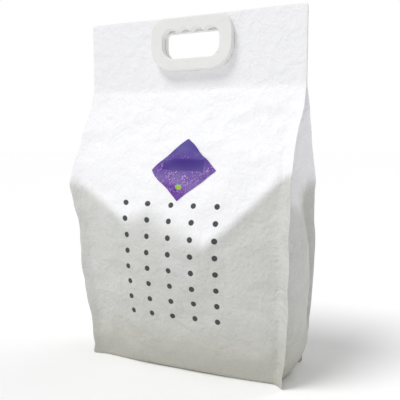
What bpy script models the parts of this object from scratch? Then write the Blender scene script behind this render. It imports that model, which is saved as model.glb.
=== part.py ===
"""Cat litter bag: a filled bag of white paper laminate with a clip-on carry handle.

Metres, +Z up. X runs across the bag, the front panel faces -Y, and the origin is on the
floor under the middle of the bag. The bag stands on its flat base. Above the fill the two
panels are sealed together into a flat header, and the two halves of the handle clip
together through it. Run with: blender --background --python part.py
"""
import math

import bmesh
import bpy
from mathutils import Vector

# --- driving dimensions -------------------------------------------------------------------
GAP = 0.0003              # clearance between pieces that touch

BAG_HEIGHT = 0.480
HEADER_HEIGHT = 0.100     # flat sealed strip along the top
HEADER_WIDTH = 0.320
HEADER_THICKNESS = 0.0012
HEADER_ROOT = 0.006       # how far the header reaches down inside the body
HEADER_X = -0.0025        # middle of the header
BODY_X = 0.0045           # middle of the filled body: the bag leans a little
LEAN_START = 0.250        # height above which the lean is taken up
FIN_WIDTH = 0.013         # sealed fin along each upright corner
FIN_THICKNESS = 0.0012
FIN_FOOT = 0.0008         # clear of the floor
FIN_SET_IN = 0.0005       # from the corner line into the gusset
HEADER_SETBACK = 0.0004   # the fins end inside the header's ends
FIN_OVERLAP = 0.004       # how far a fin's root runs into the body
FIN_TOP_NEAR = 0.00045    # the fins end inside the header, in its two half-thicknesses
FIN_TOP_FAR = 0.00008
PANEL_STEPS = 12          # facets across a panel, and half as many across a gusset
LAYERS = 26               # rings of the body between base and header

# Body stations from the floor up: height, then half-sizes: panel middle depth, corner
# depth, corner width and gusset middle width.
STATIONS = (
    (0.000, 0.043, 0.037, 0.128, 0.136),
    (0.012, 0.052, 0.045, 0.133, 0.147),
    (0.040, 0.059, 0.051, 0.136, 0.1565),
    (0.080, 0.065, 0.055, 0.138, 0.158),
    (0.125, 0.074, 0.062, 0.139, 0.157),
    (0.165, 0.080, 0.067, 0.139, 0.155),
    (0.205, 0.0765, 0.065, 0.139, 0.151),
    (0.240, 0.067, 0.057, 0.142, 0.146),
    (0.285, 0.045, 0.038, 0.147, 0.141),
    (0.335, 0.0215, 0.018, 0.149, 0.140),
    (0.360, 0.0095, 0.0075, 0.148, 0.144),
    (0.380, 0.0004, 0.0003, 0.1465, 0.1463),
)

HANDLE_WIDTH = 0.120
HANDLE_HEIGHT = 0.071
HANDLE_DROP = 0.003       # header edge down to the handle's top
HALF_THICKNESS = 0.0095   # each half, from its film side to its face
RIM = 0.0030              # rounding round the face
WALL = 0.0022             # plastic left round the hollow inside each half
TOP_CORNER = 0.021
BOTTOM_CORNER = 0.032
WINDOW_WIDTH = 0.084
WINDOW_BOTTOM = 0.0165    # height of the lower bar
WINDOW_TOP = 0.0215       # height of the upper bar at the tips between the finger arches
WINDOW_TOP_CORNER = 0.005
WINDOW_BOTTOM_CORNER = 0.0155
ARCH_PITCH = 0.020        # four finger arches, on the front half only
ARCH_DEPTH = 0.0055
ARCH_SOFTNESS = 0.22
ARCH_COUNT = 4
ARCH_STEPS = 7            # facets along one arch
WINDOW_CORNER_STEPS = 5   # facets round a corner of the window
OUTER_CORNER_STEPS = 7
BACK_WINDOW_TOP = 0.0190  # height of the plain upper bar of the back half
FILM_MARGIN = 0.0025      # the film's hand hole is this much larger than the windows

PEG_RADIUS = 0.0030
PEG_REACH = 0.0060        # how far a peg stands into the front half
PEG_ROOT = 0.0020         # how deep it starts inside its boss
ROD_SIDES = 16
CUT_REACH = 0.010         # a cutter's half-length through the header
BOSS_RADIUS = 0.0054
HOLE_IN_FILM = 0.0040
PEG_TOP_X = (-0.037, 0.0, 0.037)
PEG_BOTTOM_X = (-0.028, 0.0, 0.028)
PEG_TOP_DROP = 0.0087     # below the handle's top edge
PEG_BOTTOM_RISE = 0.0083  # above the handle's bottom edge

LABEL_SIDE = 0.067        # square sticker set on its corner
LABEL_THICKNESS = 0.0003
LABEL_X = 0.0075
LABEL_Z = 0.280
LABEL_SLOPE = 0.90        # the panel leans back here, so the sticker stands less tall
LABEL_STEPS = 12

HANDLE_TOP_Z = BAG_HEIGHT - HANDLE_DROP
HANDLE_BOTTOM_Z = HANDLE_TOP_Z - HANDLE_HEIGHT
FILM_FACE = HEADER_THICKNESS / 2 + GAP


# --- scene helpers ------------------------------------------------------------------------
def clear_scene():
    for obj in list(bpy.data.objects):
        bpy.data.objects.remove(obj, do_unlink=True)


def new_collection(name):
    group = bpy.data.collections.new(name)
    bpy.context.scene.collection.children.link(group)
    return group


def new_object(name, mesh, group):
    obj = bpy.data.objects.new(name, mesh)
    group.objects.link(obj)
    return obj


def shade_round(obj):
    """Smooth shading that keeps the real edges sharp."""
    obj.data.shade_smooth()
    obj.data.set_sharp_from_angle(angle=math.radians(35))


def new_material(name, colour, roughness, metallic=0.0):
    material = bpy.data.materials.new(name)
    material.use_nodes = True
    shader = material.node_tree.nodes["Principled BSDF"]
    shader.inputs["Base Color"].default_value = (*colour, 1.0)
    shader.inputs["Roughness"].default_value = roughness
    shader.inputs["Metallic"].default_value = metallic
    return material


def as_tool(obj):
    """Marks an object that only shapes another one."""
    obj.hide_render = True
    obj.display_type = 'WIRE'
    return obj


def boolean(obj, tool, operation):
    """Joins or cuts two closed shapes. Their lofted and filled faces aren't quite flat,
    which the EXACT solver doesn't survive, so this is the MANIFOLD one."""
    step = obj.modifiers.new(operation.title() + " " + tool.name, 'BOOLEAN')
    step.operation = operation
    step.solver = 'MANIFOLD'
    step.object = tool


# --- the filled body ----------------------------------------------------------------------
def station_at(height):
    """Half-sizes at a height, read from a smooth curve through the stations."""
    last = len(STATIONS) - 1
    low = 0
    while low < last - 1 and height > STATIONS[low + 1][0]:
        low += 1
    before = STATIONS[max(low - 1, 0)]
    start, end = STATIONS[low], STATIONS[low + 1]
    after = STATIONS[min(low + 2, last)]
    span = end[0] - start[0]
    t = min(max((height - start[0]) / span, 0.0), 1.0)
    sizes = []
    for k in range(1, 5):
        slope_in = (end[k] - before[k]) / (end[0] - before[0]) * span
        slope_out = (after[k] - start[k]) / (after[0] - start[0]) * span
        sizes.append((2 * t**3 - 3 * t**2 + 1) * start[k] + (t**3 - 2 * t**2 + t) * slope_in
                     + (3 * t**2 - 2 * t**3) * end[k] + (t**3 - t**2) * slope_out)
    return sizes


def middle_at(height):
    """X of the bag's middle: the header sits a little to the left of the body."""
    top = BAG_HEIGHT - HEADER_HEIGHT
    t = min(max((height - LEAN_START) / (top - LEAN_START), 0.0), 1.0)
    return BODY_X + (HEADER_X - BODY_X) * t * t * (3 - 2 * t)


def panel_depth(across, height):
    """Depth of a panel, where across runs from -1 at one corner to 1 at the other."""
    depth, corner_depth, _, _ = station_at(height)
    return corner_depth + (depth - corner_depth) * (1 - abs(across) ** 3)


def body_section(height):
    """Closed outline of the body at a height: front, right gusset, back, left gusset."""
    _, corner_depth, width, gusset = station_at(height)
    middle = middle_at(height)
    points = []
    for side in (-1, 1):
        for i in range(PANEL_STEPS):
            across = -1 + 2 * i / PANEL_STEPS
            points.append((middle - side * across * width,
                           side * panel_depth(across, height)))
        gusset_steps = PANEL_STEPS // 2
        for i in range(gusset_steps):
            along = -1 + 2 * i / gusset_steps
            reach = width + (gusset - width) * (1 - along * along)
            points.append((middle - side * reach, -side * corner_depth * along))
    return points


def loft(name, sections, group):
    """Closed mesh through equal rings of (x, y, z) points, capped at both ends."""
    mesh = bpy.data.meshes.new(name)
    shape = bmesh.new()
    rings = [[shape.verts.new(point) for point in section] for section in sections]
    for lower, upper in zip(rings, rings[1:]):
        for i in range(len(lower)):
            j = (i + 1) % len(lower)
            shape.faces.new((lower[i], lower[j], upper[j], upper[i]))
    shape.faces.new(list(reversed(rings[0])))
    shape.faces.new(rings[-1])
    bmesh.ops.recalc_face_normals(shape, faces=shape.faces)
    shape.to_mesh(mesh)
    shape.free()
    return new_object(name, mesh, group)


def body_heights():
    """Ring heights, closer together near the floor, where the base turns into the sides."""
    top = STATIONS[-1][0]
    return [top * (i / LAYERS) ** 1.15 for i in range(LAYERS + 1)]


def make_body(group):
    sections = []
    for height in body_heights():
        sections.append([(x, y, height) for x, y in body_section(height)])
    return loft("bag", sections, group)


def sized_box(name, size, centre, group):
    """Box of the given size, with the size kept in its mesh."""
    bpy.ops.mesh.primitive_cube_add(size=1.0, location=centre)
    box = bpy.context.object
    box.name = name
    box.scale = size
    bpy.ops.object.transform_apply(location=False, rotation=False, scale=True)
    move_to(box, group)
    return box


def move_to(obj, group):
    for owner in list(obj.users_collection):
        owner.objects.unlink(obj)
    group.objects.link(obj)


def make_header(group):
    """Flat sealed strip. Its lower edge starts inside the body."""
    height = HEADER_HEIGHT + HEADER_ROOT
    centre = (HEADER_X, 0.0, BAG_HEIGHT - height / 2)
    return as_tool(sized_box("header", (HEADER_WIDTH, HEADER_THICKNESS, height), centre, group))


def make_fin(name, side_x, side_y, group):
    """Sealed fin along one upright corner, from the floor up into the header."""
    sections = []
    for height in body_heights():
        _, corner_depth, width, _ = station_at(height)
        middle = middle_at(height)
        inner = middle + side_x * (width - FIN_OVERLAP)
        outer = middle + side_x * (width + FIN_WIDTH)
        edge = HEADER_WIDTH / 2 - HEADER_SETBACK
        outer = min(max(outer, HEADER_X - edge), HEADER_X + edge)
        near = side_y * max(corner_depth - FIN_SET_IN, FIN_TOP_NEAR)
        far = side_y * max(corner_depth - FIN_SET_IN - FIN_THICKNESS, FIN_TOP_FAR)
        foot = max(height, FIN_FOOT)
        sections.append([(inner, near, foot), (outer, near, foot),
                         (outer, far, foot), (inner, far, foot)])
    return as_tool(loft(name, sections, group))


# --- handle -------------------------------------------------------------------------------
def rounded_outline(corners, steps):
    """Closed outline through (x, y, radius) corners, each turned into an arc."""
    points = []
    for i, (x, y, radius) in enumerate(corners):
        here = Vector((x, y))
        to_last = (Vector(corners[i - 1][:2]) - here).normalized()
        to_next = (Vector(corners[(i + 1) % len(corners)][:2]) - here).normalized()
        half_angle = to_last.angle(to_next) / 2
        centre = here + (to_last + to_next).normalized() * (radius / math.sin(half_angle))
        start = here + to_last * (radius / math.tan(half_angle)) - centre
        end = here + to_next * (radius / math.tan(half_angle)) - centre
        turn = start.angle_signed(end)
        for k in range(steps + 1):
            angle = -turn * k / steps
            points.append(centre + Vector((start.x * math.cos(angle) - start.y * math.sin(angle),
                                           start.x * math.sin(angle) + start.y * math.cos(angle))))
    return points


def outer_outline(inset):
    """Outer edge of the handle, brought in by inset. Its origin is the handle's top middle."""
    half = HANDLE_WIDTH / 2 - inset
    top, bottom = -inset, -HANDLE_HEIGHT + inset
    low, high = BOTTOM_CORNER - inset, TOP_CORNER - inset
    corners = [(-half, bottom, low), (half, bottom, low), (half, top, high), (-half, top, high)]
    return rounded_outline(corners, OUTER_CORNER_STEPS)


def arch_rise(x):
    """Height of the finger arches above the tips between them."""
    wave = math.sin(math.pi * (x / ARCH_PITCH + ARCH_COUNT / 2))
    soft = math.sqrt(wave * wave + ARCH_SOFTNESS ** 2) - ARCH_SOFTNESS
    return ARCH_DEPTH * soft / (math.sqrt(1 + ARCH_SOFTNESS ** 2) - ARCH_SOFTNESS)


def window_outline(outset, upper_bar, arches):
    """Edge of the hand window, let out by outset."""
    half = WINDOW_WIDTH / 2 + outset
    top, bottom = -upper_bar + outset, -HANDLE_HEIGHT + WINDOW_BOTTOM - outset
    low, high = WINDOW_BOTTOM_CORNER + outset, WINDOW_TOP_CORNER + outset
    straight = half - high
    shoulder = top + (arch_rise(straight) if arches else 0.0)
    corners = [(-half, bottom, low), (half, bottom, low),
               (half, shoulder, high), (-half, shoulder, high)]
    points = rounded_outline(corners, WINDOW_CORNER_STEPS)
    if arches:
        steps = ARCH_COUNT * ARCH_STEPS
        places = [straight * (1 - 2 * i / steps) for i in range(1, steps)]
        before_last_corner = 3 * (WINDOW_CORNER_STEPS + 1)
        points[before_last_corner:before_last_corner] = [
            Vector((x, top + arch_rise(x))) for x in places]
    return points


def flat_ring(name, outlines, thickness, rim, group):
    """Plate with a window, lying in X and Z with its middle on Y 0, its edges rounded."""
    curve = bpy.data.curves.new(name, 'CURVE')
    curve.dimensions = '2D'
    curve.fill_mode = 'BOTH'
    curve.extrude = thickness / 2 - rim
    curve.bevel_depth = rim
    curve.bevel_resolution = 1
    for outline in outlines:
        spline = curve.splines.new('POLY')
        spline.points.add(len(outline) - 1)
        for point, place in zip(spline.points, outline):
            point.co = (place.x, place.y, 0.0, 1.0)
        spline.use_cyclic_u = True
    drawn = new_object(name + " outline", curve, group)
    drawn.rotation_euler = (math.pi / 2, 0.0, 0.0)
    drawn.location = (0.0, 0.0, HANDLE_TOP_Z)
    bpy.context.view_layer.update()
    evaluated = drawn.evaluated_get(bpy.context.evaluated_depsgraph_get())
    mesh = bpy.data.meshes.new_from_object(evaluated)
    mesh.transform(drawn.matrix_world)
    mesh.name = name
    shape = bmesh.new()
    shape.from_mesh(mesh)
    bmesh.ops.remove_doubles(shape, verts=shape.verts, dist=0.00001)
    bmesh.ops.recalc_face_normals(shape, faces=shape.faces)
    shape.to_mesh(mesh)
    shape.free()
    bpy.data.objects.remove(drawn, do_unlink=True)
    return new_object(name, mesh, group)


def rod(name, radius, start_y, end_y, place, group):
    """Cylinder along Y between two depths."""
    x, z = place
    bpy.ops.mesh.primitive_cylinder_add(
        vertices=ROD_SIDES, radius=radius, depth=abs(end_y - start_y),
        location=(x, (start_y + end_y) / 2, z), rotation=(math.pi / 2, 0.0, 0.0))
    tool = bpy.context.object
    tool.name = name
    move_to(tool, group)
    return as_tool(tool)


def peg_places():
    places = [(x, HANDLE_TOP_Z - PEG_TOP_DROP) for x in PEG_TOP_X]
    places += [(x, HANDLE_BOTTOM_Z + PEG_BOTTOM_RISE) for x in PEG_BOTTOM_X]
    return places


def make_half(name, side, upper_bar, arches, group, tools):
    """One half of the handle, hollow towards the film, with a boss behind each peg place."""
    face = FILM_FACE + HALF_THICKNESS
    outlines = [outer_outline(RIM), window_outline(RIM, upper_bar, arches)]
    half = flat_ring(name, outlines, 2 * face, RIM, group)
    far_side = sized_box(name + " far side", (2 * HANDLE_WIDTH, 4 * face, 2 * HANDLE_HEIGHT),
                         (0.0, side * (FILM_FACE - 2 * face), HANDLE_BOTTOM_Z), tools)
    boolean(half, as_tool(far_side), 'DIFFERENCE')
    inside = [outer_outline(WALL), window_outline(WALL, upper_bar, arches)]
    hollow = flat_ring(name + " hollow", inside, 2 * (face - WALL), 0.0, tools)
    for i, place in enumerate(peg_places()):
        boss = rod(name + " boss " + str(i + 1), BOSS_RADIUS, -face, face, place, tools)
        boolean(hollow, boss, 'DIFFERENCE')
    boolean(half, as_tool(hollow), 'DIFFERENCE')
    return half


def make_handle(group, tools):
    front = make_half("handle_front", -1, WINDOW_TOP, True, group, tools)
    back = make_half("handle_back", 1, BACK_WINDOW_TOP, False, group, tools)
    for i, place in enumerate(peg_places()):
        number = str(i + 1)
        socket_end = -(FILM_FACE + PEG_REACH + GAP)
        socket = rod("socket " + number, PEG_RADIUS + GAP, 0.0, socket_end, place, tools)
        boolean(front, socket, 'DIFFERENCE')
        peg = rod("peg " + number, PEG_RADIUS, FILM_FACE + PEG_ROOT,
                  -(FILM_FACE + PEG_REACH), place, tools)
        boolean(back, peg, 'UNION')
    return front, back


def cut_header(bag, tools):
    """Hand hole and peg holes through the film, all hidden between the handle halves."""
    edge = window_outline(FILM_MARGIN, BACK_WINDOW_TOP, False)
    hand_hole = as_tool(flat_ring("hand hole", [edge], 2 * CUT_REACH, 0.0, tools))
    boolean(bag, hand_hole, 'DIFFERENCE')
    for i, place in enumerate(peg_places()):
        hole = rod("film hole " + str(i + 1), HOLE_IN_FILM, -CUT_REACH, CUT_REACH, place, tools)
        boolean(bag, hole, 'DIFFERENCE')


# --- label --------------------------------------------------------------------------------
def make_label(group):
    """Square sticker on its corner, following the curve of the front panel."""
    mesh = bpy.data.meshes.new("label")
    shape = bmesh.new()
    bmesh.ops.create_grid(shape, x_segments=LABEL_STEPS, y_segments=LABEL_STEPS,
                          size=LABEL_SIDE / 2)
    turn = math.radians(45)
    lift = GAP + LABEL_THICKNESS
    for vert in shape.verts:
        across = vert.co.x * math.cos(turn) - vert.co.y * math.sin(turn)
        along = vert.co.x * math.sin(turn) + vert.co.y * math.cos(turn)
        x = LABEL_X + across
        z = LABEL_Z + along * LABEL_SLOPE
        _, _, width, _ = station_at(z)
        y = -panel_depth((x - middle_at(z)) / width, z) - lift
        vert.co = (x, y, z)
    bmesh.ops.recalc_face_normals(shape, faces=shape.faces)
    if sum(face.normal.y for face in shape.faces) > 0:
        bmesh.ops.reverse_faces(shape, faces=shape.faces)
    shape.to_mesh(mesh)
    shape.free()
    label = new_object("label", mesh, group)
    skin = label.modifiers.new("Thickness", 'SOLIDIFY')
    skin.thickness = LABEL_THICKNESS
    skin.offset = -1.0
    return label


# --- build --------------------------------------------------------------------------------
def main():
    clear_scene()
    parts = new_collection("cat litter bag")
    tools = new_collection("cutters")

    bag = make_body(parts)
    boolean(bag, make_header(tools), 'UNION')
    for side_x, where_x in ((-1, "left"), (1, "right")):
        for side_y, where_y in ((-1, "front"), (1, "back")):
            fin = make_fin("fin " + where_x + " " + where_y, side_x, side_y, tools)
            boolean(bag, fin, 'UNION')
    cut_header(bag, tools)
    front, back = make_handle(parts, tools)
    label = make_label(parts)

    bag.data.materials.append(new_material("white paper laminate", (0.84, 0.85, 0.86), 0.62))
    plastic = new_material("white moulded plastic", (0.76, 0.76, 0.74), 0.38)
    front.data.materials.append(plastic)
    back.data.materials.append(plastic)
    label.data.materials.append(new_material("printed sticker", (0.07, 0.02, 0.22), 0.30))
    for piece in (bag, front, back):
        shade_round(piece)


main()
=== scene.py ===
"""Looks of a filled bag of cat litter: white paper laminate, clip-on carry handle, sticker.

Metres, +Z up, the front panel faces -Y. Each piece is in its final place in its own mesh.
"""
import bisect
import math

import bmesh
import bpy
import numpy as np
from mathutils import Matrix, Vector, noise


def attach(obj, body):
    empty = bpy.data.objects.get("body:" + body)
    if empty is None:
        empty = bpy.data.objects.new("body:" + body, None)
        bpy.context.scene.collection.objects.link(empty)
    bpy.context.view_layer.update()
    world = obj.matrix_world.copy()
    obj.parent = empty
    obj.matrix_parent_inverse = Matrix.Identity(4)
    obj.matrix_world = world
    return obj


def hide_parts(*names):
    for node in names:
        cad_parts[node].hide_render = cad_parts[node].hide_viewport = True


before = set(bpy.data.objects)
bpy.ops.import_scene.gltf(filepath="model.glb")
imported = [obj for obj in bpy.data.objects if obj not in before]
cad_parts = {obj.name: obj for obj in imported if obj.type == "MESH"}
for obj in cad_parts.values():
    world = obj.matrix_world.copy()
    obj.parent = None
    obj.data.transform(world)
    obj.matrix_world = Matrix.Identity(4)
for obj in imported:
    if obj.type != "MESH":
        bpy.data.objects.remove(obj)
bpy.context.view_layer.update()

MM = 0.001

# --- the bag's cut: flat widths between its sealed corners ----------------------------------
PANEL_WIDTH = 0.282
GUSSET_WIDTH = 0.150
FIN_WIDTH = 0.019          # sealed fin outside each corner line
FIN_STEPS = 3
FIN_THICKNESS = 0.0008
HEADER_HEIGHT = 0.100
HEADER_BASE = 0.380
HEADER_X = -0.0025
BODY_X = 0.0045
LEAN_START = 0.250
SHEET_Y = 0.0006           # each panel's place in the header
TUCK = 0.0745              # how far a gusset is folded in between the panels
TUCK_START = 0.240
TUCK_Y = 0.0003
PANEL_STEPS = 46
GUSSET_STEPS = 24
HEADER_ROWS = 16
ROW_PITCH = 0.0062
BASE_TURN = 0.075          # length over which the cut narrows to the base

# Sizes of the filled body: height, panel middle depth, corner depth, corner half-width and
# gusset middle half-width.
STATIONS = (
    (0.000, 0.043, 0.037, 0.128, 0.136),
    (0.012, 0.050, 0.043, 0.133, 0.147),
    (0.040, 0.059, 0.048, 0.136, 0.1565),
    (0.080, 0.065, 0.052, 0.138, 0.158),
    (0.125, 0.074, 0.060, 0.139, 0.157),
    (0.165, 0.080, 0.066, 0.139, 0.155),
    (0.205, 0.0765, 0.065, 0.139, 0.151),
    (0.240, 0.067, 0.057, 0.142, 0.146),
    (0.285, 0.045, 0.038, 0.147, 0.141),
    (0.335, 0.0215, 0.018, 0.149, 0.140),
    (0.360, 0.0095, 0.0075, 0.148, 0.144),
    (0.380, 0.0006, 0.0005, 0.1465, 0.1463),
)

# Cloth: the litter pushes outwards, hardest at the floor.
FILL_TOP = 0.262
FILL_PRESSURE = 1.5
SETTLE_FRAMES = 30
FILM_STIFFNESS = 40.0
FILM_BENDING = 2.0

# UV islands, one metre to one unit: each panel's middle, and the header base's height.
FRONT_U, RIGHT_U, BACK_U, LEFT_U = 0.17, 0.42, 0.67, 0.92
BASE_LINE_V = 0.55


def smooth(t):
    t = np.clip(t, 0.0, 1.0)
    return t * t * (3 - 2 * t)


def station_at(height):
    """Half-sizes at a height, read from a smooth curve through the stations."""
    low = bisect.bisect([s[0] for s in STATIONS], height) - 1
    low = min(max(low, 0), len(STATIONS) - 2)
    before, start, end = STATIONS[max(low - 1, 0)], STATIONS[low], STATIONS[low + 1]
    after = STATIONS[min(low + 2, len(STATIONS) - 1)]
    span = end[0] - start[0]
    t = min(max((height - start[0]) / span, 0.0), 1.0)
    sizes = []
    for k in range(1, 5):
        slope_in = (end[k] - before[k]) / (end[0] - before[0]) * span
        slope_out = (after[k] - start[k]) / (after[0] - start[0]) * span
        sizes.append((2 * t**3 - 3 * t**2 + 1) * start[k] + (t**3 - 2 * t**2 + t) * slope_in
                     + (3 * t**2 - 2 * t**3) * end[k] + (t**3 - t**2) * slope_out)
    return sizes


def middle_at(height):
    """X of the bag's middle: the header sits a little to the left of the body."""
    t = smooth((height - LEAN_START) / (HEADER_BASE - LEAN_START))
    return BODY_X + (HEADER_X - BODY_X) * t


# Length of film from the header base down to each height, along the front panel's middle.
HEIGHTS = np.linspace(HEADER_BASE, 0.0, 761)
DEPTHS = np.array([station_at(h)[0] for h in HEIGHTS])
LENGTHS = np.concatenate([[0.0], np.cumsum(np.hypot(np.diff(HEIGHTS), np.diff(DEPTHS)))])
BODY_LENGTH = float(LENGTHS[-1])


def length_at(height):
    """Film length below the header base at a height; negative up in the header."""
    if height >= HEADER_BASE:
        return HEADER_BASE - height
    return float(np.interp(HEADER_BASE - height, HEADER_BASE - HEIGHTS, LENGTHS))


def height_at(length):
    if length <= 0:
        return HEADER_BASE - length
    return float(np.interp(length, LENGTHS, HEIGHTS))


BODY_ROWS = round(BODY_LENGTH / ROW_PITCH)
ROW_LENGTHS = [-HEADER_HEIGHT + HEADER_HEIGHT * i / HEADER_ROWS for i in range(HEADER_ROWS)]
ROW_LENGTHS += [BODY_LENGTH * i / BODY_ROWS for i in range(BODY_ROWS + 1)]
ROWS = len(ROW_LENGTHS)
AROUND = 2 * (PANEL_STEPS + GUSSET_STEPS)
CORNERS = (0, PANEL_STEPS, PANEL_STEPS + GUSSET_STEPS, 2 * PANEL_STEPS + GUSSET_STEPS)
CORNER_SIDES = ((-1, -1), (1, -1), (1, 1), (-1, 1))
FIN_PANELS = ("front", "front", "back", "back")


def start_row(length):
    """One ring of the film before it settles: front, right gusset, back, left gusset."""
    height = height_at(length)
    in_header = length <= 0
    depth, corner_depth, width, gusset = station_at(min(height, HEADER_BASE))
    blend = min(max((height - 0.2) / 0.18, 0.0), 1.0)
    half = width + (PANEL_WIDTH / 2 - width) * blend
    middle = middle_at(height)
    tuck = TUCK if in_header else 0.075 * max((height - TUCK_START) / 0.140, 0.0) ** 0.9
    bulge = 0.0 if height > TUCK_START else max(gusset - width, 0.0)
    points = []
    for side in (-1, 1):
        for i in range(PANEL_STEPS):
            across = -1 + 2 * i / PANEL_STEPS
            y = SHEET_Y if in_header else (
                corner_depth + (depth - corner_depth) * (1 - abs(across) ** 2.5))
            points.append((middle - side * across * half, side * y, height))
        for i in range(GUSSET_STEPS):
            across = -1 + 2 * i / GUSSET_STEPS
            reach = half + bulge * (1 - across**2) - tuck * (1 - abs(across))
            y = TUCK_Y if in_header else corner_depth
            points.append((middle - side * reach, -side * y * across, height))
    return points


def cut_size(length):
    """Panel and gusset width of the flat cut, which narrows towards the base."""
    turn = smooth((length - (BODY_LENGTH - BASE_TURN)) / BASE_TURN)
    _, corner_depth, width, _ = station_at(0.0)
    panel = PANEL_WIDTH + (2 * width - PANEL_WIDTH) * turn
    gusset = GUSSET_WIDTH + (2 * corner_depth + 0.012 - GUSSET_WIDTH) * turn
    return panel, gusset


def cut_row(length):
    """The same ring in the flat cut, as a box: the lengths that the film keeps."""
    panel, gusset = cut_size(length)
    points = []
    for side in (-1, 1):
        for i in range(PANEL_STEPS):
            across = -1 + 2 * i / PANEL_STEPS
            points.append((-side * across * panel / 2, side * gusset / 2, -length))
        for i in range(GUSSET_STEPS):
            across = -1 + 2 * i / GUSSET_STEPS
            points.append((-side * panel / 2, -side * across * gusset / 2, -length))
    return points


def film_start():
    """Film before it settles, its flat cut, and for each point its panel and place on it."""
    start, cut, places = [], [], []
    for row, length in enumerate(ROW_LENGTHS):
        start += start_row(length)
        cut += cut_row(length)
        panel_width, gusset_width = cut_size(length)
        for side, panel, gusset in ((-1, "front", "right"), (1, "back", "left")):
            for i in range(PANEL_STEPS):
                across = -1 + 2 * i / PANEL_STEPS
                places.append((panel, -side * across * panel_width / 2, length, row))
            for i in range(GUSSET_STEPS):
                across = -1 + 2 * i / GUSSET_STEPS
                places.append((gusset, -side * across * gusset_width / 2, length, row))
    return start, cut, places


def film_faces():
    """Quads of the ring grid and its two ends, by point number."""
    faces = []
    for row in range(ROWS - 1):
        for i in range(AROUND):
            j = (i + 1) % AROUND
            upper, lower = row * AROUND, (row + 1) * AROUND
            faces.append((upper + i, lower + i, lower + j, upper + j))
    faces.append(tuple(range(AROUND)))
    faces.append(tuple(reversed(range((ROWS - 1) * AROUND, ROWS * AROUND))))
    return faces


def settle(start, cut, places):
    """The film as cloth: the litter pushes it outwards until its own cut holds it."""
    mesh = bpy.data.meshes.new("film")
    mesh.from_pydata(start, [], film_faces())
    film = bpy.data.objects.new("film", mesh)
    bpy.context.scene.collection.objects.link(film)
    held = film.vertex_groups.new(name="held")
    pushed = film.vertex_groups.new(name="pushed")
    for number, (panel, _, length, row) in enumerate(places):
        if row < HEADER_ROWS or row == ROWS - 1:
            held.add([number], 1.0, 'REPLACE')
        push = 0.0
        if row > HEADER_ROWS:
            push = max((FILL_TOP - start[number][2]) / FILL_TOP, 0.0)
        pushed.add([number], push, 'REPLACE')
    film.shape_key_add(name="start")
    flat = film.shape_key_add(name="cut")
    for point, place in zip(flat.data, cut):
        point.co = place
    cloth = film.modifiers.new("cloth", 'CLOTH')
    film_settings = cloth.settings
    film_settings.quality = 5
    film_settings.mass = 0.1
    film_settings.air_damping = 2.0
    film_settings.tension_stiffness = FILM_STIFFNESS
    film_settings.compression_stiffness = FILM_STIFFNESS
    film_settings.shear_stiffness = FILM_STIFFNESS / 2
    film_settings.bending_stiffness = FILM_BENDING
    film_settings.tension_damping = 25.0
    film_settings.compression_damping = 25.0
    film_settings.shear_damping = 25.0
    film_settings.bending_damping = 2.0
    film_settings.vertex_group_mass = "held"
    film_settings.rest_shape_key = flat
    film_settings.use_pressure = True
    film_settings.uniform_pressure_force = FILL_PRESSURE
    film_settings.vertex_group_pressure = "pushed"
    film_settings.effector_weights.gravity = 0.0
    cloth.collision_settings.use_collision = False
    cloth.collision_settings.use_self_collision = False
    cloth.point_cache.frame_start = 1
    cloth.point_cache.frame_end = SETTLE_FRAMES
    scene = bpy.context.scene
    scene.frame_start = 1
    scene.frame_end = SETTLE_FRAMES
    for number in range(1, SETTLE_FRAMES + 1):
        scene.frame_set(number)
    settled = film.evaluated_get(bpy.context.evaluated_depsgraph_get()).to_mesh()
    points = np.array([vertex.co[:] for vertex in settled.vertices])
    scene.frame_set(1)
    bpy.data.objects.remove(film, do_unlink=True)
    return points


# --- creases of the settled film ------------------------------------------------------------
# Panel, points on it (x and height in mm), how far it stands out (mm, negative for a
# valley), and its spread to its upper or left side and to its lower or right side (mm).
CREASES = (
    ("front", ((-150, 256), (-104, 229), (-66, 205)), 1.8, 16, 7),
    ("front", ((-66, 205), (-36, 221)), 1.2, 14, 7),
    ("front", ((52, 180), (96, 214), (128, 250), (146, 272)), 3.0, 18, 6),
    ("front", ((20, 192), (52, 180)), 0.9, 12, 8),
    ("front", ((-146, 262), (-122, 250), (-100, 240)), -1.8, 7, 7),
    ("back", ((-146, 268), (-88, 236), (-40, 196)), 2.4, 18, 7),
    ("back", ((-40, 196), (12, 226)), 1.2, 14, 8),
    ("back", ((40, 214), (66, 202)), 1.0, 12, 8),
    ("back", ((66, 202), (110, 232), (150, 258)), 2.0, 16, 7),
)

# Height above which each panel stands clear of the litter, and where the painted shade of the
# lower faces begins: x (mm) and height (mm).
FILL_AND_SHADE_LINES = {
    "front": ((-160, 258), (-142, 249), (-63, 205), (-33, 222), (52, 180), (146, 270), (160, 272)),
    "back": ((-160, 272), (-146, 268), (-40, 196), (12, 224), (66, 202), (150, 258), (160, 262)),
    "right": ((-75, 262), (-30, 236), (0, 226), (40, 240), (75, 258)),
    "left": ((-75, 262), (-34, 238), (4, 228), (36, 236), (75, 256)),
}


def from_surface(x, z):
    """Place on a panel's flat cut of a point given by x and height in mm."""
    return x * MM - middle_at(z * MM), length_at(z * MM)


def distance_to_path(u, v, path):
    """Signed distance of each point from a path: positive on its upper or left side."""
    best = np.full(u.shape, 1e9)
    side = np.ones(u.shape)
    for (u0, v0), (u1, v1) in zip(path, path[1:]):
        du, dv = u1 - u0, v1 - v0
        t = np.clip(((u - u0) * du + (v - v0) * dv) / (du * du + dv * dv), 0.0, 1.0)
        away = np.hypot(u - u0 - t * du, v - v0 - t * dv)
        cross = dv * (u - u0) - du * (v - v0)
        closer = away < best
        best = np.where(closer, away, best)
        side = np.where(closer, np.where(cross >= 0, 1.0, -1.0), side)
    return best * side


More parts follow.
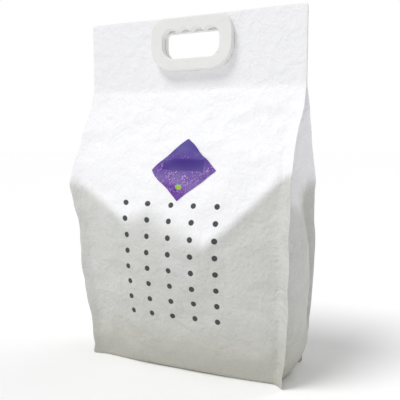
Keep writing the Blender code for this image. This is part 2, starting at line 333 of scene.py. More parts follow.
def point_normals(points, faces):
    total = np.zeros_like(points)
    for face in faces:
        if len(face) > 4:
            continue
        a, b, c, d = (points[k] for k in face)
        normal = np.cross(c - a, d - b)
        for k in face:
            total[k] += normal
    return total / np.maximum(np.linalg.norm(total, axis=1, keepdims=True), 1e-12)


def crumple(u, v, seed, across_size, along_size):
    """Smooth noise on the flat cut, about -1 to 1, with its grain size in metres."""
    return np.array([noise.noise(Vector((a / across_size, b / along_size, seed)))
                     for a, b in zip(u, v)])


def shape_film(points, places):
    """Creases, wrinkles and shoulders, moved along the film's own normals."""
    panels = np.array([p[0] for p in places])
    u = np.array([p[1] for p in places])
    v = np.array([p[2] for p in places])
    normals = point_normals(points, film_faces())
    below_header = smooth(v / 0.03) * smooth((BODY_LENGTH - v) / 0.02)
    move = np.zeros(len(places))
    for panel, path, height, upper, lower in CREASES:
        here = panels == panel
        flat_path = [from_surface(x, z) for x, z in path]
        away = distance_to_path(u[here], v[here], flat_path)
        spread = np.where(away >= 0, upper, lower) * MM
        move[here] += 1.6 * height * MM * np.exp(-np.abs(away) / spread)
    grain = crumple(u, v, 3.0, 0.060, 0.034) * 2.4 + crumple(u, v, 9.0, 0.026, 0.017) * 1.3
    grain += crumple(u, v, 17.0, 0.013, 0.011) * 0.6
    move += grain * MM
    return points + normals * (move * below_header)[:, None]


# Where the four sealed corners stand: height, then x on the left and on the right, and y.
FRONT_CORNERS = (
    (0.000, -0.125, 0.131, -0.038),
    (0.030, -0.1235, 0.139, -0.047),
    (0.057, -0.1225, 0.1405, -0.050),
    (0.088, -0.1255, 0.142, -0.053),
    (0.145, -0.1295, 0.143, -0.060),
    (0.180, -0.1305, 0.1435, -0.061),
    (0.205, -0.1335, 0.1430, -0.060),
    (0.235, -0.1455, 0.1425, -0.056),
    (0.255, -0.1520, 0.1420, -0.052),
    (0.275, -0.1515, 0.1410, -0.046),
    (0.310, -0.1480, 0.1410, -0.030),
    (0.345, -0.1450, 0.1400, -0.014),
    (0.380, -0.1435, 0.1385, -0.0006),
)
BACK_CORNERS = (
    (0.000, -0.124, 0.131, 0.038),
    (0.040, -0.130, 0.140, 0.049),
    (0.100, -0.133, 0.143, 0.055),
    (0.160, -0.134, 0.144, 0.061),
    (0.205, -0.137, 0.143, 0.060),
    (0.240, -0.143, 0.142, 0.055),
    (0.270, -0.147, 0.144, 0.047),
    (0.310, -0.147, 0.142, 0.030),
    (0.345, -0.145, 0.140, 0.014),
    (0.380, -0.1435, 0.1385, 0.0006),
)


def corner_places(table, heights):
    """X on the left, x on the right and y of the corner lines at each height."""
    at = [line[0] for line in table]
    return [np.interp(heights, at, [line[k] for line in table]) for k in (1, 2, 3)]


def fit_corners(points):
    """Draws the settled film's corner lines to where the sealed corners stand."""
    ring = points.reshape(ROWS, AROUND, 3).copy()
    shift = np.zeros((4, ROWS, 3))
    for table, corners in ((FRONT_CORNERS, ((0, 1), (1, 2))), (BACK_CORNERS, ((2, 2), (3, 1)))):
        for number, which in corners:
            line = ring[:, CORNERS[number]]
            left, right, y = corner_places(table, line[:, 2])
            shift[number, :, 0] = (left if which == 1 else right) - line[:, 0]
            shift[number, :, 1] = y - line[:, 1]
    shift[:, :HEADER_ROWS + 1] = 0.0
    for number in range(4):
        for _ in range(3):
            shift[number, 1:-1] = (shift[number, :-2] + shift[number, 1:-1] * 2
                                   + shift[number, 2:]) / 4
    spans = ((0, 1, PANEL_STEPS, 0.0), (1, 2, GUSSET_STEPS, 0.5), (2, 3, PANEL_STEPS, 0.0),
             (3, 0, GUSSET_STEPS, 0.5))
    moved = ring.copy()
    for before, after, steps, through in spans:
        for k in range(steps + 1 if after else steps):
            t = k / steps
            from_before = smooth(np.array(1 - t * 2.2)) if through == 0.0 else 1 - t
            from_after = smooth(np.array(t * 2.2 - 1.2)) if through == 0.0 else t
            column = (CORNERS[before] + k) % AROUND
            if k in (0, steps) and (before in (1, 3)):
                continue
            moved[:, column] = (ring[:, column] + shift[before] * from_before
                                + shift[after] * from_after)
    for number in range(4):
        moved[:, CORNERS[number]] = ring[:, CORNERS[number]] + shift[number]
    return moved.reshape(-1, 3)


# Each fin below the header: how far it turns towards its panel's outside (degrees), and its
# width there (metres).
FIN_TURNS = (14.0, 34.0, 30.0, 24.0)
FIN_BODY_WIDTH = (0.0165, 0.0165, 0.0165, 0.0165)
FIN_WAVE = 9.0
EAR = 0.002


def make_fins(points):
    """The four sealed fins: flat in the header, standing off each corner further down."""
    ring = points.reshape(ROWS, AROUND, 3)
    fins = np.zeros((4, FIN_STEPS, ROWS, 3))
    for number, (side_x, side_y) in enumerate(CORNER_SIDES):
        line = ring[:, CORNERS[number]]
        for row, length in enumerate(ROW_LENGTHS):
            down = float(smooth(np.array(length / 0.10)))
            wave = noise.noise(Vector((length / 0.045, 5.0 * number, 1.7)))
            angle = math.radians(FIN_TURNS[number] + FIN_WAVE * wave) * down
            width = FIN_WIDTH + (FIN_BODY_WIDTH[number] - FIN_WIDTH) * down
            foot = float(smooth(np.array(1 - (BODY_LENGTH - length) / 0.020)))
            width += EAR * foot - 0.004 * float(smooth(np.array(
                1 - (BODY_LENGTH - length) / 0.11))) * (1 - foot)
            for k in range(1, FIN_STEPS + 1):
                out = width * k / FIN_STEPS
                curl = angle * (1.0 + 0.25 * (k / FIN_STEPS - 0.5))
                fins[number, k - 1, row] = line[row] + (side_x * out * math.cos(curl),
                                                        side_y * out * math.sin(curl), 0.0)
    return fins


# --- the bag's mesh --------------------------------------------------------------------------
def closed_film(points):
    """The columns of the closed skin, each fin with its thickness, and their flat places."""
    ring = points.reshape(ROWS, AROUND, 3)
    fins = make_fins(points)
    widths = np.array([cut_size(length) for length in ROW_LENGTHS])
    outward = []
    for number, (corner, (side_x, side_y)) in enumerate(zip(CORNERS, CORNER_SIDES)):
        out = fins[number, -1] - ring[:, corner]
        down = np.gradient(ring[:, corner], axis=0)
        normal = np.cross(out, down)
        normal /= np.maximum(np.linalg.norm(normal, axis=1, keepdims=True), 1e-12)
        sign = np.sign(normal[:, 1]) * side_y
        sign[sign == 0] = 1
        outward.append(normal * sign[:, None] * FIN_THICKNESS / 2)

    columns, uv = [], []

    def add(column, u_value):
        columns.append(column)
        uv.append(u_value)

    def add_side(first, steps, before, after, centre, kind, sign):
        """A panel or gusset between two fins, with its own side of those fins."""
        half = widths[:, kind] / 2
        for k in range(FIN_STEPS, 0, -1):
            add(fins[before, k - 1] + sign * outward[before],
                centre - half - FIN_WIDTH * k / FIN_STEPS)
        cols = [ring[:, (first + k) % AROUND] for k in range(steps + 1)]
        cols[0] = cols[0] + sign * outward[before]
        cols[-1] = cols[-1] + sign * outward[after]
        for k, column in enumerate(cols):
            add(column, centre + (-1 + 2 * k / steps) * half)
        for k in range(1, FIN_STEPS + 1):
            add(fins[after, k - 1] + sign * outward[after],
                centre + half + FIN_WIDTH * k / FIN_STEPS)

    add_side(CORNERS[0], PANEL_STEPS, 0, 1, FRONT_U, 0, 1)
    add_side(CORNERS[1], GUSSET_STEPS, 1, 2, RIGHT_U, 1, -1)
    add_side(CORNERS[2], PANEL_STEPS, 2, 3, BACK_U, 0, 1)
    add_side(CORNERS[3], GUSSET_STEPS, 3, 0, LEFT_U, 1, -1)
    return np.array(columns), uv


PANEL_COLUMNS = PANEL_STEPS + 1 + 2 * FIN_STEPS
GUSSET_COLUMNS = GUSSET_STEPS + 1 + 2 * FIN_STEPS
FRONT_FIRST = 0
RIGHT_FIRST = PANEL_COLUMNS
BACK_FIRST = PANEL_COLUMNS + GUSSET_COLUMNS
LEFT_FIRST = 2 * PANEL_COLUMNS + GUSSET_COLUMNS

HOLE_HALF_WIDTH = 0.0445
HOLE_TOP, HOLE_BOTTOM = 0.4605, 0.4200


def in_hand_hole(x, z):
    return abs(x) < HOLE_HALF_WIDTH and HOLE_BOTTOM < z < HOLE_TOP


def make_bag(points):
    columns, uv = closed_film(points)
    count = len(columns)
    shape = bmesh.new()
    verts = [[shape.verts.new(columns[c, row]) for c in range(count)] for row in range(ROWS)]
    uv_layer = shape.loops.layers.uv.new("cut")

    def add_face(corners, places):
        face = shape.faces.new(corners)
        for loop, place in zip(face.loops, places):
            loop[uv_layer].uv = place
        return face

    def v_of(row):
        return BASE_LINE_V - ROW_LENGTHS[row]

    def hole_face(c, row):
        """True for a face of the front or back sheet that the hand hole takes out."""
        k = c - (FRONT_FIRST if c < RIGHT_FIRST else BACK_FIRST)
        if not (c < RIGHT_FIRST or BACK_FIRST <= c < LEFT_FIRST) or row >= HEADER_ROWS:
            return False
        if not FIN_STEPS <= k < FIN_STEPS + PANEL_STEPS:
            return False
        place = (columns[c, row] + columns[c + 1, row + 1]) / 2
        return in_hand_hole(place[0], place[2])

    for row in range(ROWS - 1):
        for c in range(count):
            d = (c + 1) % count
            if hole_face(c, row):
                continue
            last = uv[d] if d not in (0, RIGHT_FIRST, BACK_FIRST, LEFT_FIRST) else uv[c] + 0.001
            places = ((uv[c][row], v_of(row)), (uv[c][row + 1], v_of(row + 1)),
                      (last[row + 1], v_of(row + 1)), (last[row], v_of(row)))
            add_face((verts[row][c], verts[row + 1][c], verts[row + 1][d], verts[row][d]),
                     places)

    # the edges of the hand hole, from the front sheet to the back sheet
    def partner(c):
        return BACK_FIRST + PANEL_COLUMNS - 1 - c

    for row in range(HEADER_ROWS + 1):
        for c in range(FIN_STEPS, FIN_STEPS + PANEL_STEPS + 1):
            inside = hole_face(c, row)
            if row > 0 and inside != hole_face(c, row - 1):
                a, b = verts[row][c], verts[row][c + 1]
                e, f = verts[row][partner(c)], verts[row][partner(c + 1)]
                corners = (a, b, f, e) if inside else (b, a, e, f)
                add_face(corners, [(0.001, 0.001)] * 4)
            if inside != hole_face(c - 1, row):
                a, b = verts[row][c], verts[row + 1][c]
                e, f = verts[row][partner(c)], verts[row + 1][partner(c)]
                corners = (b, a, e, f) if inside else (a, b, f, e)
                add_face(corners, [(0.001, 0.001)] * 4)

    def close_end(row, turned):
        """Closes the fins' ends at the top or at the base."""
        r = verts[row]
        for first, after in ((FRONT_FIRST, RIGHT_FIRST), (RIGHT_FIRST, BACK_FIRST),
                             (BACK_FIRST, LEFT_FIRST), (LEFT_FIRST, count)):
            for k in range(FIN_STEPS):
                a = r[after - 1 - k]
                b = r[after - 2 - k]
                c = r[(after + 1 + k) % count]
                d = r[(after + k) % count]
                corners = (a, b, c, d) if not turned else (d, c, b, a)
                add_face(corners, [(0.002, 0.002)] * 4)

    # the header's top edge: sheet to tucked gusset at the sides, sheet to sheet between
    top = verts[0]
    half = GUSSET_STEPS // 2
    fl = FRONT_FIRST + FIN_STEPS
    fr = fl + PANEL_STEPS
    rf = RIGHT_FIRST + FIN_STEPS
    rb = rf + GUSSET_STEPS
    br = BACK_FIRST + FIN_STEPS
    bl = br + PANEL_STEPS
    lb = LEFT_FIRST + FIN_STEPS
    lf = lb + GUSSET_STEPS
    nowhere = [(0.003, 0.003)] * 5
    for k in range(half):
        for a, b, c, d in ((fr - k, fr - k - 1, rf + k + 1, rf + k),
                           (lf - k, lf - k - 1, fl + k + 1, fl + k),
                           (rb - k, rb - k - 1, br + k + 1, br + k),
                           (bl - k, bl - k - 1, lb + k + 1, lb + k)):
            add_face((top[a], top[b], top[c], top[d]), nowhere[:4])
    for k in range(half, PANEL_STEPS - half):
        corners = [top[fl + k + 1], top[fl + k], top[bl - k], top[bl - k - 1]]
        if k == half:
            corners.insert(2, top[lb + half])
        if k == PANEL_STEPS - half - 1:
            corners.append(top[rf + half])
        add_face(corners, nowhere[:len(corners)])
    close_end(0, False)

    # the base: a grid between the four sides
    low = verts[ROWS - 1]
    front = [low[fl + k] for k in range(PANEL_STEPS + 1)]
    back = [low[bl - k] for k in range(PANEL_STEPS + 1)]
    right = [low[rf + k] for k in range(GUSSET_STEPS + 1)]
    left = [low[lf - k] for k in range(GUSSET_STEPS + 1)]
    grid = {}
    for i in range(PANEL_STEPS + 1):
        for j in range(GUSSET_STEPS + 1):
            s, t = i / PANEL_STEPS, j / GUSSET_STEPS
            if j == 0:
                grid[i, j] = front[i]
            elif j == GUSSET_STEPS:
                grid[i, j] = back[i]
            elif i == 0:
                grid[i, j] = left[j]
            elif i == PANEL_STEPS:
                grid[i, j] = right[j]
            else:
                across = front[i].co * (1 - t) + back[i].co * t
                along = left[j].co * (1 - s) + right[j].co * s
                ends = ((front[0].co * (1 - s) + front[-1].co * s) * (1 - t)
                        + (back[0].co * (1 - s) + back[-1].co * s) * t)
                grid[i, j] = shape.verts.new(across + along - ends)
    # the gusset's own corners differ from the panel's by the fin's thickness
    for corner, a, b in (((0, 0), front[0], left[0]), ((PANEL_STEPS, 0), front[-1], right[0]),
                         ((0, GUSSET_STEPS), back[0], left[-1]),
                         ((PANEL_STEPS, GUSSET_STEPS), back[-1], right[-1])):
        grid[corner] = (a, b)
    for i in range(PANEL_STEPS):
        for j in range(GUSSET_STEPS):
            corners = []
            for a, b in ((i, j), (i, j + 1), (i + 1, j + 1), (i + 1, j)):
                found = grid[a, b]
                if isinstance(found, tuple):
                    panel_first = (a == 0) == (b == 0)
                    found = found if panel_first else found[::-1]
                    corners += [(v, a, b) for v in found]
                else:
                    corners.append((found, a, b))
            add_face([v for v, _, _ in corners],
                     [(0.03 + 0.28 * a / PANEL_STEPS, 0.02 + 0.09 * b / GUSSET_STEPS)
                      for _, a, b in corners])
    close_end(ROWS - 1, True)

    bmesh.ops.recalc_face_normals(shape, faces=shape.faces)
    for face in shape.faces:
        face.smooth = True
    mesh = bpy.data.meshes.new("filled_bag")
    shape.to_mesh(mesh)
    open_edges = sum(1 for edge in shape.edges if len(edge.link_faces) != 2)
    volume = shape.calc_volume()
    print("bag skin: open edges", open_edges, "litres", round(volume * 1000, 2))
    shape.free()
    bag = bpy.data.objects.new("filled_bag", mesh)
    bpy.context.scene.collection.objects.link(bag)
    return bag


start, cut, places = film_start()
film = settle(start, cut, places)
film = fit_corners(film)
film = shape_film(film, places)
bag = make_bag(film)


# --- helpers for work by hand ----------------------------------------------------------------
def select_only(obj):
    for other in list(bpy.context.selected_objects):
        other.select_set(False)
    obj.select_set(True)
    bpy.context.view_layer.objects.active = obj


def apply_modifiers(obj):
    select_only(obj)
    for modifier in list(obj.modifiers):
        bpy.ops.object.modifier_apply(modifier=modifier.name)


def linear(hex_colour):
    """sRGB hex value to linear RGBA."""
    out = []
    for k in (1, 3, 5):
        c = int(hex_colour[k:k + 2], 16) / 255
        out.append(c / 12.92 if c <= 0.04045 else ((c + 0.055) / 1.055) ** 2.4)
    return (*out, 1.0)


round_off = bag.modifiers.new("round off", 'SUBSURF')
round_off.levels = 1
round_off.render_levels = 1
apply_modifiers(bag)
for point in bag.data.vertices:
    point.co.z = max(point.co.z, 0.0)


# How gradually the film comes to lie on the litter, and the painted shade comes in, across the
# front panel (mm).
SOFT_AT = (-150, -63, -20, 30, 56, 146)
SOFT_EDGE = (22, 24, 60, 48, 22, 16)


def contact_and_shade_of(obj):
    """How firmly the litter lies against the film at each point, 0 to 1; the same value lays on
    the painted shade of the lower faces.
    """
    values = []
    for vertex in obj.data.vertices:
        x, y, z = vertex.co
        values.append((x, y, z))
    co = np.array(values)
    normal = np.array([vertex.normal[:] for vertex in obj.data.vertices])
    facing_side = np.abs(normal[:, 0]) > np.abs(normal[:, 1])
    result = np.zeros(len(co))
    for name in FILL_AND_SHADE_LINES:
        line = FILL_AND_SHADE_LINES[name]
        if name in ("front", "back"):
            sign = -1 if name == "front" else 1
            here = ~facing_side & (np.sign(co[:, 1]) == sign)
            across = co[:, 0] / MM
        else:
            sign = 1 if name == "right" else -1
            here = facing_side & (np.sign(co[:, 0]) == sign)
            across = co[:, 1] / MM
        limit = np.interp(across, [p[0] for p in line], [p[1] for p in line]) * MM
        soft = np.interp(across, SOFT_AT, SOFT_EDGE) * MM if name == "front" else 0.030
        result[here] = smooth((limit - co[:, 2]) / soft + 0.35)[here]
    return result


# Litter against the film, which is also the mask of the painted shade below the lit upper slope.
contact_and_shade = bag.data.attributes.new("contact_and_shade", 'FLOAT', 'POINT')
contact_and_shade.data.foreach_set("value", contact_and_shade_of(bag).astype(np.float32))


# --- handle ----------------------------------------------------------------------------------
HANDLE_TOP = 0.477
HANDLE_WIDTH, HANDLE_HEIGHT = 0.120, 0.071
HANDLE_BOTTOM = HANDLE_TOP - HANDLE_HEIGHT
HANDLE_MIDDLE = (HANDLE_TOP + HANDLE_BOTTOM) / 2
FILM_FACE = 0.0009
FACE = FILM_FACE + 0.0095
WINDOW_HALF = 0.042
WINDOW_BOTTOM = HANDLE_BOTTOM + 0.0165
ARCH_TIPS = HANDLE_TOP - 0.0215
BACK_BAR = HANDLE_TOP - 0.0190
ARCH_RADIUS = 0.01184
ARCH_DROP = 0.00634        # from the tips between the arches down to the arches' centres
ARCH_CENTRES = (-0.030, -0.010, 0.010, 0.030)
GATE_MARKS = ((-0.001, 0.4165), (0.041, 0.425), (0.046, 0.465), (-0.0425, 0.4255),
              (0.0, 0.4705))


def block(name, low, high):
    """A cube at its place and size, between two corners."""
    centre = [(a + b) / 2 for a, b in zip(low, high)]
    bpy.ops.mesh.primitive_cube_add(size=1.0, location=centre)
    obj = bpy.context.object
    obj.name = name
    obj.scale = [b - a for a, b in zip(low, high)]
    bpy.ops.object.transform_apply(location=True, rotation=True, scale=True)
    return obj


def rod(name, radius, low_y, high_y, x, z, sides=48):
    bpy.ops.mesh.primitive_cylinder_add(
        vertices=sides, radius=radius, depth=high_y - low_y,
        location=(x, (low_y + high_y) / 2, z), rotation=(math.pi / 2, 0.0, 0.0))
    obj = bpy.context.object
    obj.name = name
    bpy.ops.object.transform_apply(location=True, rotation=True, scale=True)
    return obj


def bevel_where(obj, test, width, steps):
    """Rounds the edges whose two ends pass a test."""
    select_only(obj)
    bpy.ops.object.mode_set(mode='EDIT')
    bpy.ops.mesh.select_mode(type='EDGE')
    bpy.ops.mesh.select_all(action='DESELECT')
    shape = bmesh.from_edit_mesh(obj.data)
    for edge in shape.edges:
        edge.select = test(edge.verts[0].co, edge.verts[1].co)
    shape.select_flush_mode()
    bmesh.update_edit_mesh(obj.data)
    bpy.ops.mesh.bevel(offset=width, segments=steps, affect='EDGES')
    bpy.ops.object.mode_set(mode='OBJECT')


def along_y(a, b):
    return abs(a.x - b.x) < 1e-6 and abs(a.z - b.z) < 1e-6


def cut_with(obj, tool, operation='DIFFERENCE'):
    step = obj.modifiers.new("cut", 'BOOLEAN')
    step.operation = operation
    step.solver = 'EXACT'
    step.object = tool
    apply_modifiers(obj)
    bpy.data.objects.remove(tool, do_unlink=True)


def handle_half(name, side, window_top, arches):
    """One moulded half of the handle. side is -1 in front of the film and 1 behind it."""
    half = HANDLE_WIDTH / 2
    body = block(name, (-half, -FACE, HANDLE_BOTTOM), (half, FACE, HANDLE_TOP))
    bevel_where(body, lambda a, b: along_y(a, b) and a.z > HANDLE_MIDDLE, 0.021, 9)
    bevel_where(body, lambda a, b: along_y(a, b) and a.z < HANDLE_MIDDLE
                and abs(a.x) > half - 1e-4, 0.032, 12)
    window = block("window", (-WINDOW_HALF, -0.02, WINDOW_BOTTOM),
                   (WINDOW_HALF, 0.02, window_top))
    bevel_where(window, lambda a, b: along_y(a, b) and a.z < HANDLE_MIDDLE, 0.0155, 8)
    bevel_where(window, lambda a, b: along_y(a, b) and a.z > HANDLE_MIDDLE, 0.0050, 4)
    cut_with(body, window)
    for x in arches:
        cut_with(body, rod("finger", ARCH_RADIUS, -0.03, 0.03, x, ARCH_TIPS - ARCH_DROP))
    fine = body.modifiers.new("fine", 'REMESH')
    fine.mode = 'VOXEL'
    fine.voxel_size = 0.0008
    soften = body.modifiers.new("soften", 'SMOOTH')
    soften.factor = 0.5
    soften.iterations = 16
    apply_modifiers(body)
    far_y = side * FILM_FACE
    other = block("other side", (-0.1, min(far_y, -side * 0.03), 0.3),
                  (0.1, max(far_y, -side * 0.03), 0.6))
    cut_with(body, other)
    for x, z in GATE_MARKS:
        cut_with(body, rod("mark", 0.0018, side * FACE - 0.0003, side * FACE + 0.0003, x, z, 20))
    select_only(body)
    bpy.ops.object.shade_smooth_by_angle(angle=math.radians(40))
    return body


front_half = handle_half("carry_handle_front", -1, ARCH_TIPS, ARCH_CENTRES)
back_half = handle_half("carry_handle_back", 1, BACK_BAR, ())


# --- sticker ---------------------------------------------------------------------------------
STICKER_SIDE = 0.067
STICKER_X, STICKER_Z = 0.0075, 0.280
STICKER_LEAN = math.radians(24.0)
STICKER_THICKNESS = 0.0003


def make_sticker():
    """A square laid on its corner, pressed onto the film."""
    bpy.ops.mesh.primitive_grid_add(x_subdivisions=26, y_subdivisions=26, size=STICKER_SIDE,
                                    location=(0.0, 0.0, 0.0))
    sticker = bpy.context.object
    sticker.name = "scent_sticker"
    depth = station_at(STICKER_Z)[0] + 0.02
    sticker.rotation_euler = (math.radians(90) - STICKER_LEAN, 0.0, 0.0)
    sticker.location = (STICKER_X, -depth, STICKER_Z)
    for vertex in sticker.data.vertices:
        x, y = vertex.co.x, vertex.co.y
        turn = math.sqrt(0.5)
        vertex.co.x, vertex.co.y = (x - y) * turn, (x + y) * turn
    bpy.ops.object.transform_apply(location=True, rotation=True, scale=True)
    onto = sticker.modifiers.new("press on", 'SHRINKWRAP')
    onto.target = bag
    onto.wrap_method = 'NEAREST_SURFACEPOINT'
    onto.wrap_mode = 'ABOVE_SURFACE'
    onto.offset = 0.0004
    ease = sticker.modifiers.new("ease", 'SMOOTH')
    ease.iterations = 8
    thick = sticker.modifiers.new("thick", 'SOLIDIFY')
    thick.thickness = STICKER_THICKNESS
    thick.offset = 1.0
    apply_modifiers(sticker)
    bpy.ops.object.shade_smooth_by_angle(angle=math.radians(40))
    return sticker


sticker = make_sticker()


# --- materials -------------------------------------------------------------------------------
def new_material(name):
    material = bpy.data.materials.new(name)
    material.use_nodes = True
    material.node_tree.nodes.clear()
    return material, material.node_tree


def add(tree, kind, inputs=None, **settings):
    """Adds a node. Each input is a value, or a socket to link from."""
    node = tree.nodes.new(kind)
    for key, value in settings.items():
        setattr(node, key, value)
    for key, value in (inputs or {}).items():
        socket = node.inputs[key]
        if isinstance(value, bpy.types.NodeSocket):
            tree.links.new(value, socket)
        else:
            socket.default_value = value
    return node


def paper_laminate():
    """Nonwoven paper laminate, heat-sealed: matt white, softly crumpled, greyer and grainy where
    the litter lies against it.
    The grey is partly painted shade of the lower faces under the lit upper slope, and painted
    shade darkens it towards the base."""
    material, tree = new_material("nonwoven_paper_laminate")
    place = add(tree, "ShaderNodeTexCoord").outputs["Object"]
    contact_and_shade = add(tree, "ShaderNodeAttribute", attribute_name="contact_and_shade").outputs["Fac"]
    cut_map = add(tree, "ShaderNodeUVMap", uv_map="cut").outputs["UV"]
    axes = add(tree, "ShaderNodeSeparateXYZ", {0: place})
    flat = add(tree, "ShaderNodeSeparateXYZ", {0: cut_map})

    def maths(operation, a, b=0.0, c=0.0):
        return add(tree, "ShaderNodeMath", {0: a, 1: b, 2: c}, operation=operation).outputs[0]

    def span(value, low, high, out_low=0.0, out_high=1.0):
        return add(tree, "ShaderNodeMapRange",
                   {0: value, 1: low, 2: high, 3: out_low, 4: out_high},
                   interpolation_type='SMOOTHSTEP').outputs[0]

    def blend(factor, a, b):
        return add(tree, "ShaderNodeMix", {0: factor, 6: a, 7: b}, data_type='RGBA').outputs[2]

    def grain(size, detail, roughness, distortion=0.0):
        return add(tree, "ShaderNodeTexNoise",
                   {"Vector": place, "Scale": 1.0 / size, "Detail": detail,
                    "Roughness": roughness, "Distortion": distortion}).outputs["Fac"]

    clouds = grain(0.030, 3.0, 0.55)
    fibres = grain(0.0045, 4.0, 0.7, 2.5)
    uneven = span(clouds, 0.3, 0.7, -0.10, 0.10)
    lying_and_shade = maths('ADD', contact_and_shade, maths('MULTIPLY', uneven, contact_and_shade))
    white = linear("#F4F4F6")
    # Grey of the film over grey litter, and painted shade of the lower, steeper faces.
    litter_grey_and_shade = linear("#CECFCB")
    # Painted shade: darker and warmer towards the base.
    painted_base_shade = linear("#B9B7AC")
    colour = blend(maths('MULTIPLY', lying_and_shade, 1.0), white, litter_grey_and_shade)
    # Painted shade towards the base, laid only where the litter lies against the film.
    base_shade_mask = span(axes.outputs["Z"], 0.11, 0.0, 0.0, 0.8)
    colour = blend(maths('MULTIPLY', base_shade_mask, contact_and_shade), colour, painted_base_shade)
    fleck = span(fibres, 0.42, 0.62, 0.97, 1.02)
    colour = add(tree, "ShaderNodeMix", {0: 1.0, 6: colour, 7: fleck}, data_type='RGBA',
                 blend_type='MULTIPLY').outputs[2]

    # five columns and eight rows of printed dots on the front panel
    u = maths('SUBTRACT', flat.outputs["X"], FRONT_U + DOT_MIDDLE)
    v = maths('SUBTRACT', BASE_LINE_V - DOT_TOP, flat.outputs["Y"])
    column = maths('MINIMUM', maths('MAXIMUM', maths('ROUND', maths('DIVIDE', u, DOT_ACROSS)),
                                    -2.0), 2.0)
    row = maths('MINIMUM', maths('MAXIMUM', maths('ROUND', maths('DIVIDE', v, DOT_DOWN)),
                                 0.0), 7.0)
    off_u = maths('SUBTRACT', u, maths('MULTIPLY', column, DOT_ACROSS))
    off_v = maths('SUBTRACT', v, maths('MULTIPLY', row, DOT_DOWN))
    away = maths('SQRT', maths('ADD', maths('MULTIPLY', off_u, off_u),
                               maths('MULTIPLY', off_v, off_v)))
    printed = span(away, DOT_RADIUS + 0.0003, DOT_RADIUS - 0.0003, 0.0, 1.0)
    colour = blend(maths('MULTIPLY', printed, 0.97), colour, linear("#34373A"))

    wide = add(tree, "ShaderNodeBump", {"Height": grain(0.016, 3.0, 0.6, 0.6),
                                        "Strength": 0.6, "Distance": 0.0042})
    pressed = maths('MULTIPLY', grain(0.0052, 2.0, 0.5, 0.3), contact_and_shade)
    lumps = add(tree, "ShaderNodeBump", {"Height": pressed, "Strength": 0.6,
                                         "Distance": 0.0018, "Normal": wide.outputs[0]})
    fine = add(tree, "ShaderNodeBump", {"Height": fibres, "Strength": 0.4,
                                        "Distance": 0.0005, "Normal": lumps.outputs[0]})
    shader = add(tree, "ShaderNodeBsdfPrincipled",
                 {"Base Color": colour, "Roughness": 0.56, "IOR": 1.5,
                  "Specular IOR Level": 0.35, "Normal": fine.outputs[0]})
    add(tree, "ShaderNodeOutputMaterial", {"Surface": shader.outputs[0]})
    return material


def moulded_plastic():
    """Injection-moulded polyethylene: milky white, soft satin gloss, faint flow marks."""
    material, tree = new_material("moulded_polyethylene")
    place = add(tree, "ShaderNodeTexCoord").outputs["Object"]
    flow = add(tree, "ShaderNodeTexNoise", {"Vector": place, "Scale": 1 / 0.018, "Detail": 3.0})
    skin = add(tree, "ShaderNodeTexNoise", {"Vector": place, "Scale": 1 / 0.0012, "Detail": 2.0})
    tone = add(tree, "ShaderNodeMix", {0: flow.outputs["Fac"], 6: linear("#E6E6E4"),
                                       7: linear("#EEEEEC")}, data_type='RGBA')
    gloss = add(tree, "ShaderNodeMapRange", {0: flow.outputs["Fac"], 1: 0.3, 2: 0.7,
                                             3: 0.38, 4: 0.46})
    bump = add(tree, "ShaderNodeBump", {"Height": skin.outputs["Fac"], "Strength": 0.25,
                                        "Distance": 0.0001})
    shader = add(tree, "ShaderNodeBsdfPrincipled",
                 {"Base Color": tone.outputs[2], "Roughness": gloss.outputs[0], "IOR": 1.5,
                  "Subsurface Weight": 0.0, "Normal": bump.outputs[0]})
    add(tree, "ShaderNodeOutputMaterial", {"Surface": shader.outputs[0]})
    return material


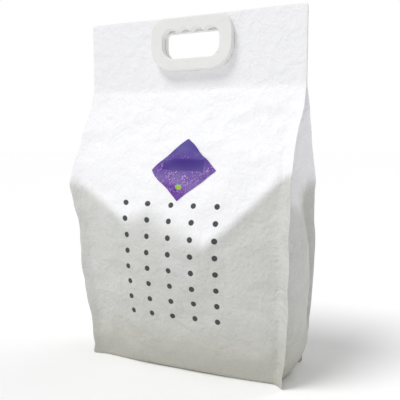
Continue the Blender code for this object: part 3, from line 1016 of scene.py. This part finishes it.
def printed_vinyl():
    """Printed, varnished vinyl: even gloss over violet inks, with a blank band and badge."""
    material, tree = new_material("varnished_printed_vinyl")
    place = add(tree, "ShaderNodeTexCoord").outputs["UV"]
    # the square stands on its corner, so up is the diagonal
    turned = add(tree, "ShaderNodeMapping",
                 {"Vector": place, "Location": (0.0, -math.sqrt(0.5), 0.0),
                  "Rotation": (0.0, 0.0, math.radians(45))})
    axes = add(tree, "ShaderNodeSeparateXYZ", {0: turned.outputs[0]})
    across, up = axes.outputs["X"], axes.outputs["Y"]

    def span(value, low, high, out_low=0.0, out_high=1.0):
        return add(tree, "ShaderNodeMapRange",
                   {0: value, 1: low, 2: high, 3: out_low, 4: out_high},
                   interpolation_type='SMOOTHSTEP').outputs[0]

    def maths(operation, a, b=0.0):
        return add(tree, "ShaderNodeMath", {0: a, 1: b}, operation=operation).outputs[0]

    def blend(factor, a, b):
        return add(tree, "ShaderNodeMix", {0: factor, 6: a, 7: b}, data_type='RGBA').outputs[2]

    colour = blend(span(up, -0.7, 0.7), linear("#6A3E9A"), linear("#3D2D8C"))
    for size, tint, cover in ((0.050, "#8A54B4", 0.34), (0.036, "#B98BD0", 0.26),
                              (0.028, "#2A1263", 0.30)):
        spots = add(tree, "ShaderNodeTexVoronoi",
                    {"Vector": place, "Scale": 1.0 / size, "Randomness": 1.0}).outputs[0]
        thick = add(tree, "ShaderNodeTexNoise",
                    {"Vector": place, "Scale": 5.0, "Detail": 2.0}).outputs["Fac"]
        present = maths('MULTIPLY', span(spots, cover + 0.12, cover), span(thick, 0.40, 0.56))
        lower = span(up, 0.42, 0.10)
        colour = blend(maths('MULTIPLY', present, lower), colour, linear(tint))
    band = maths('MULTIPLY', span(maths('ABSOLUTE', maths('SUBTRACT', up, 0.10)), 0.112, 0.104),
                 span(maths('ABSOLUTE', across), 0.44, 0.43))
    colour = blend(band, colour, linear("#3A1D80"))
    down = maths('SUBTRACT', up, -0.36)
    badge = maths('SQRT', maths('ADD', maths('MULTIPLY', across, across),
                                maths('MULTIPLY', down, down)))
    colour = blend(span(badge, 0.078, 0.070), colour, linear("#8FB53A"))
    shader = add(tree, "ShaderNodeBsdfPrincipled",
                 {"Base Color": colour, "Roughness": 0.42, "IOR": 1.5,
                  "Specular IOR Level": 0.35})
    add(tree, "ShaderNodeOutputMaterial", {"Surface": shader.outputs[0]})
    return material


DOT_MIDDLE = -0.0045       # first dot column to last are centred here on the panel
DOT_TOP = 0.167            # film length from the header base to the first row
DOT_ACROSS = 0.0325
DOT_DOWN = 0.0214
DOT_RADIUS = 0.0037


def dress(piece, material, slot_name, *nodes):
    piece.data.materials.clear()
    piece.data.materials.append(material)
    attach(piece, "root")
    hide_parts(*nodes)


dress(bag, paper_laminate(), "paper_laminate", "bag")
plastic = moulded_plastic()
dress(front_half, plastic, "handle_plastic", "handle_front")
dress(back_half, plastic, "handle_plastic", "handle_back")
dress(sticker, printed_vinyl(), "printed_sticker", "label")


# --- floor, light and camera -----------------------------------------------------------------
def make_floor():
    bpy.ops.mesh.primitive_plane_add(size=60.0, location=(0.0, 0.0, 0.0))
    floor = bpy.context.object
    floor.name = "floor"
    material, tree = new_material("pale_floor_paint")
    shader = add(tree, "ShaderNodeBsdfPrincipled",
                 {"Base Color": linear("#F8F8F8"), "Roughness": 0.9,
                  "Specular IOR Level": 0.1})
    add(tree, "ShaderNodeOutputMaterial", {"Surface": shader.outputs[0]})
    floor.data.materials.append(material)


def broad_light(name, direction, strength, spread):
    """A large far light, so that the floor is lit evenly. direction points to the light."""
    light = bpy.data.lights.new(name, 'SUN')
    light.energy = strength
    light.angle = math.radians(spread)
    obj = bpy.data.objects.new(name, light)
    bpy.context.scene.collection.objects.link(obj)
    obj.rotation_euler = Vector(direction).to_track_quat('Z', 'Y').to_euler()


def make_light():
    scene = bpy.context.scene
    world = bpy.data.worlds.new("studio")
    world.use_nodes = True
    tree = world.node_tree
    tree.nodes.clear()
    seen = add(tree, "ShaderNodeLightPath").outputs["Is Camera Ray"]
    room = add(tree, "ShaderNodeBackground", {"Color": (1.0, 1.0, 1.0, 1.0), "Strength": 0.45})
    paper = add(tree, "ShaderNodeBackground", {"Color": (1.0, 1.0, 1.0, 1.0), "Strength": 1.0})
    both = add(tree, "ShaderNodeMixShader", {0: seen, 1: room.outputs[0], 2: paper.outputs[0]})
    add(tree, "ShaderNodeOutputWorld", {"Surface": both.outputs[0]})
    scene.world = world
    scene.view_settings.view_transform = 'Standard'
    broad_light("key", (-0.55, -0.80, 1.60), 1.9, 24.0)
    broad_light("back", (0.60, 0.90, 1.10), 0.5, 40.0)


CAMERA_PLACE = (0.3105, -0.673, 0.301)
CAMERA_AZIMUTH = math.radians(24.04)
CAMERA_PITCH = math.radians(5.6)


def make_camera():
    camera = bpy.data.cameras.new("camera")
    camera.sensor_width = 36.0
    camera.lens = 47.83
    obj = bpy.data.objects.new("camera", camera)
    bpy.context.scene.collection.objects.link(obj)
    level = math.cos(CAMERA_PITCH)
    look = Vector((-math.sin(CAMERA_AZIMUTH) * level, math.cos(CAMERA_AZIMUTH) * level,
                   -math.sin(CAMERA_PITCH)))
    obj.location = CAMERA_PLACE
    obj.rotation_euler = look.to_track_quat('-Z', 'Y').to_euler()
    bpy.context.scene.camera = obj


make_floor()
make_light()
make_camera()
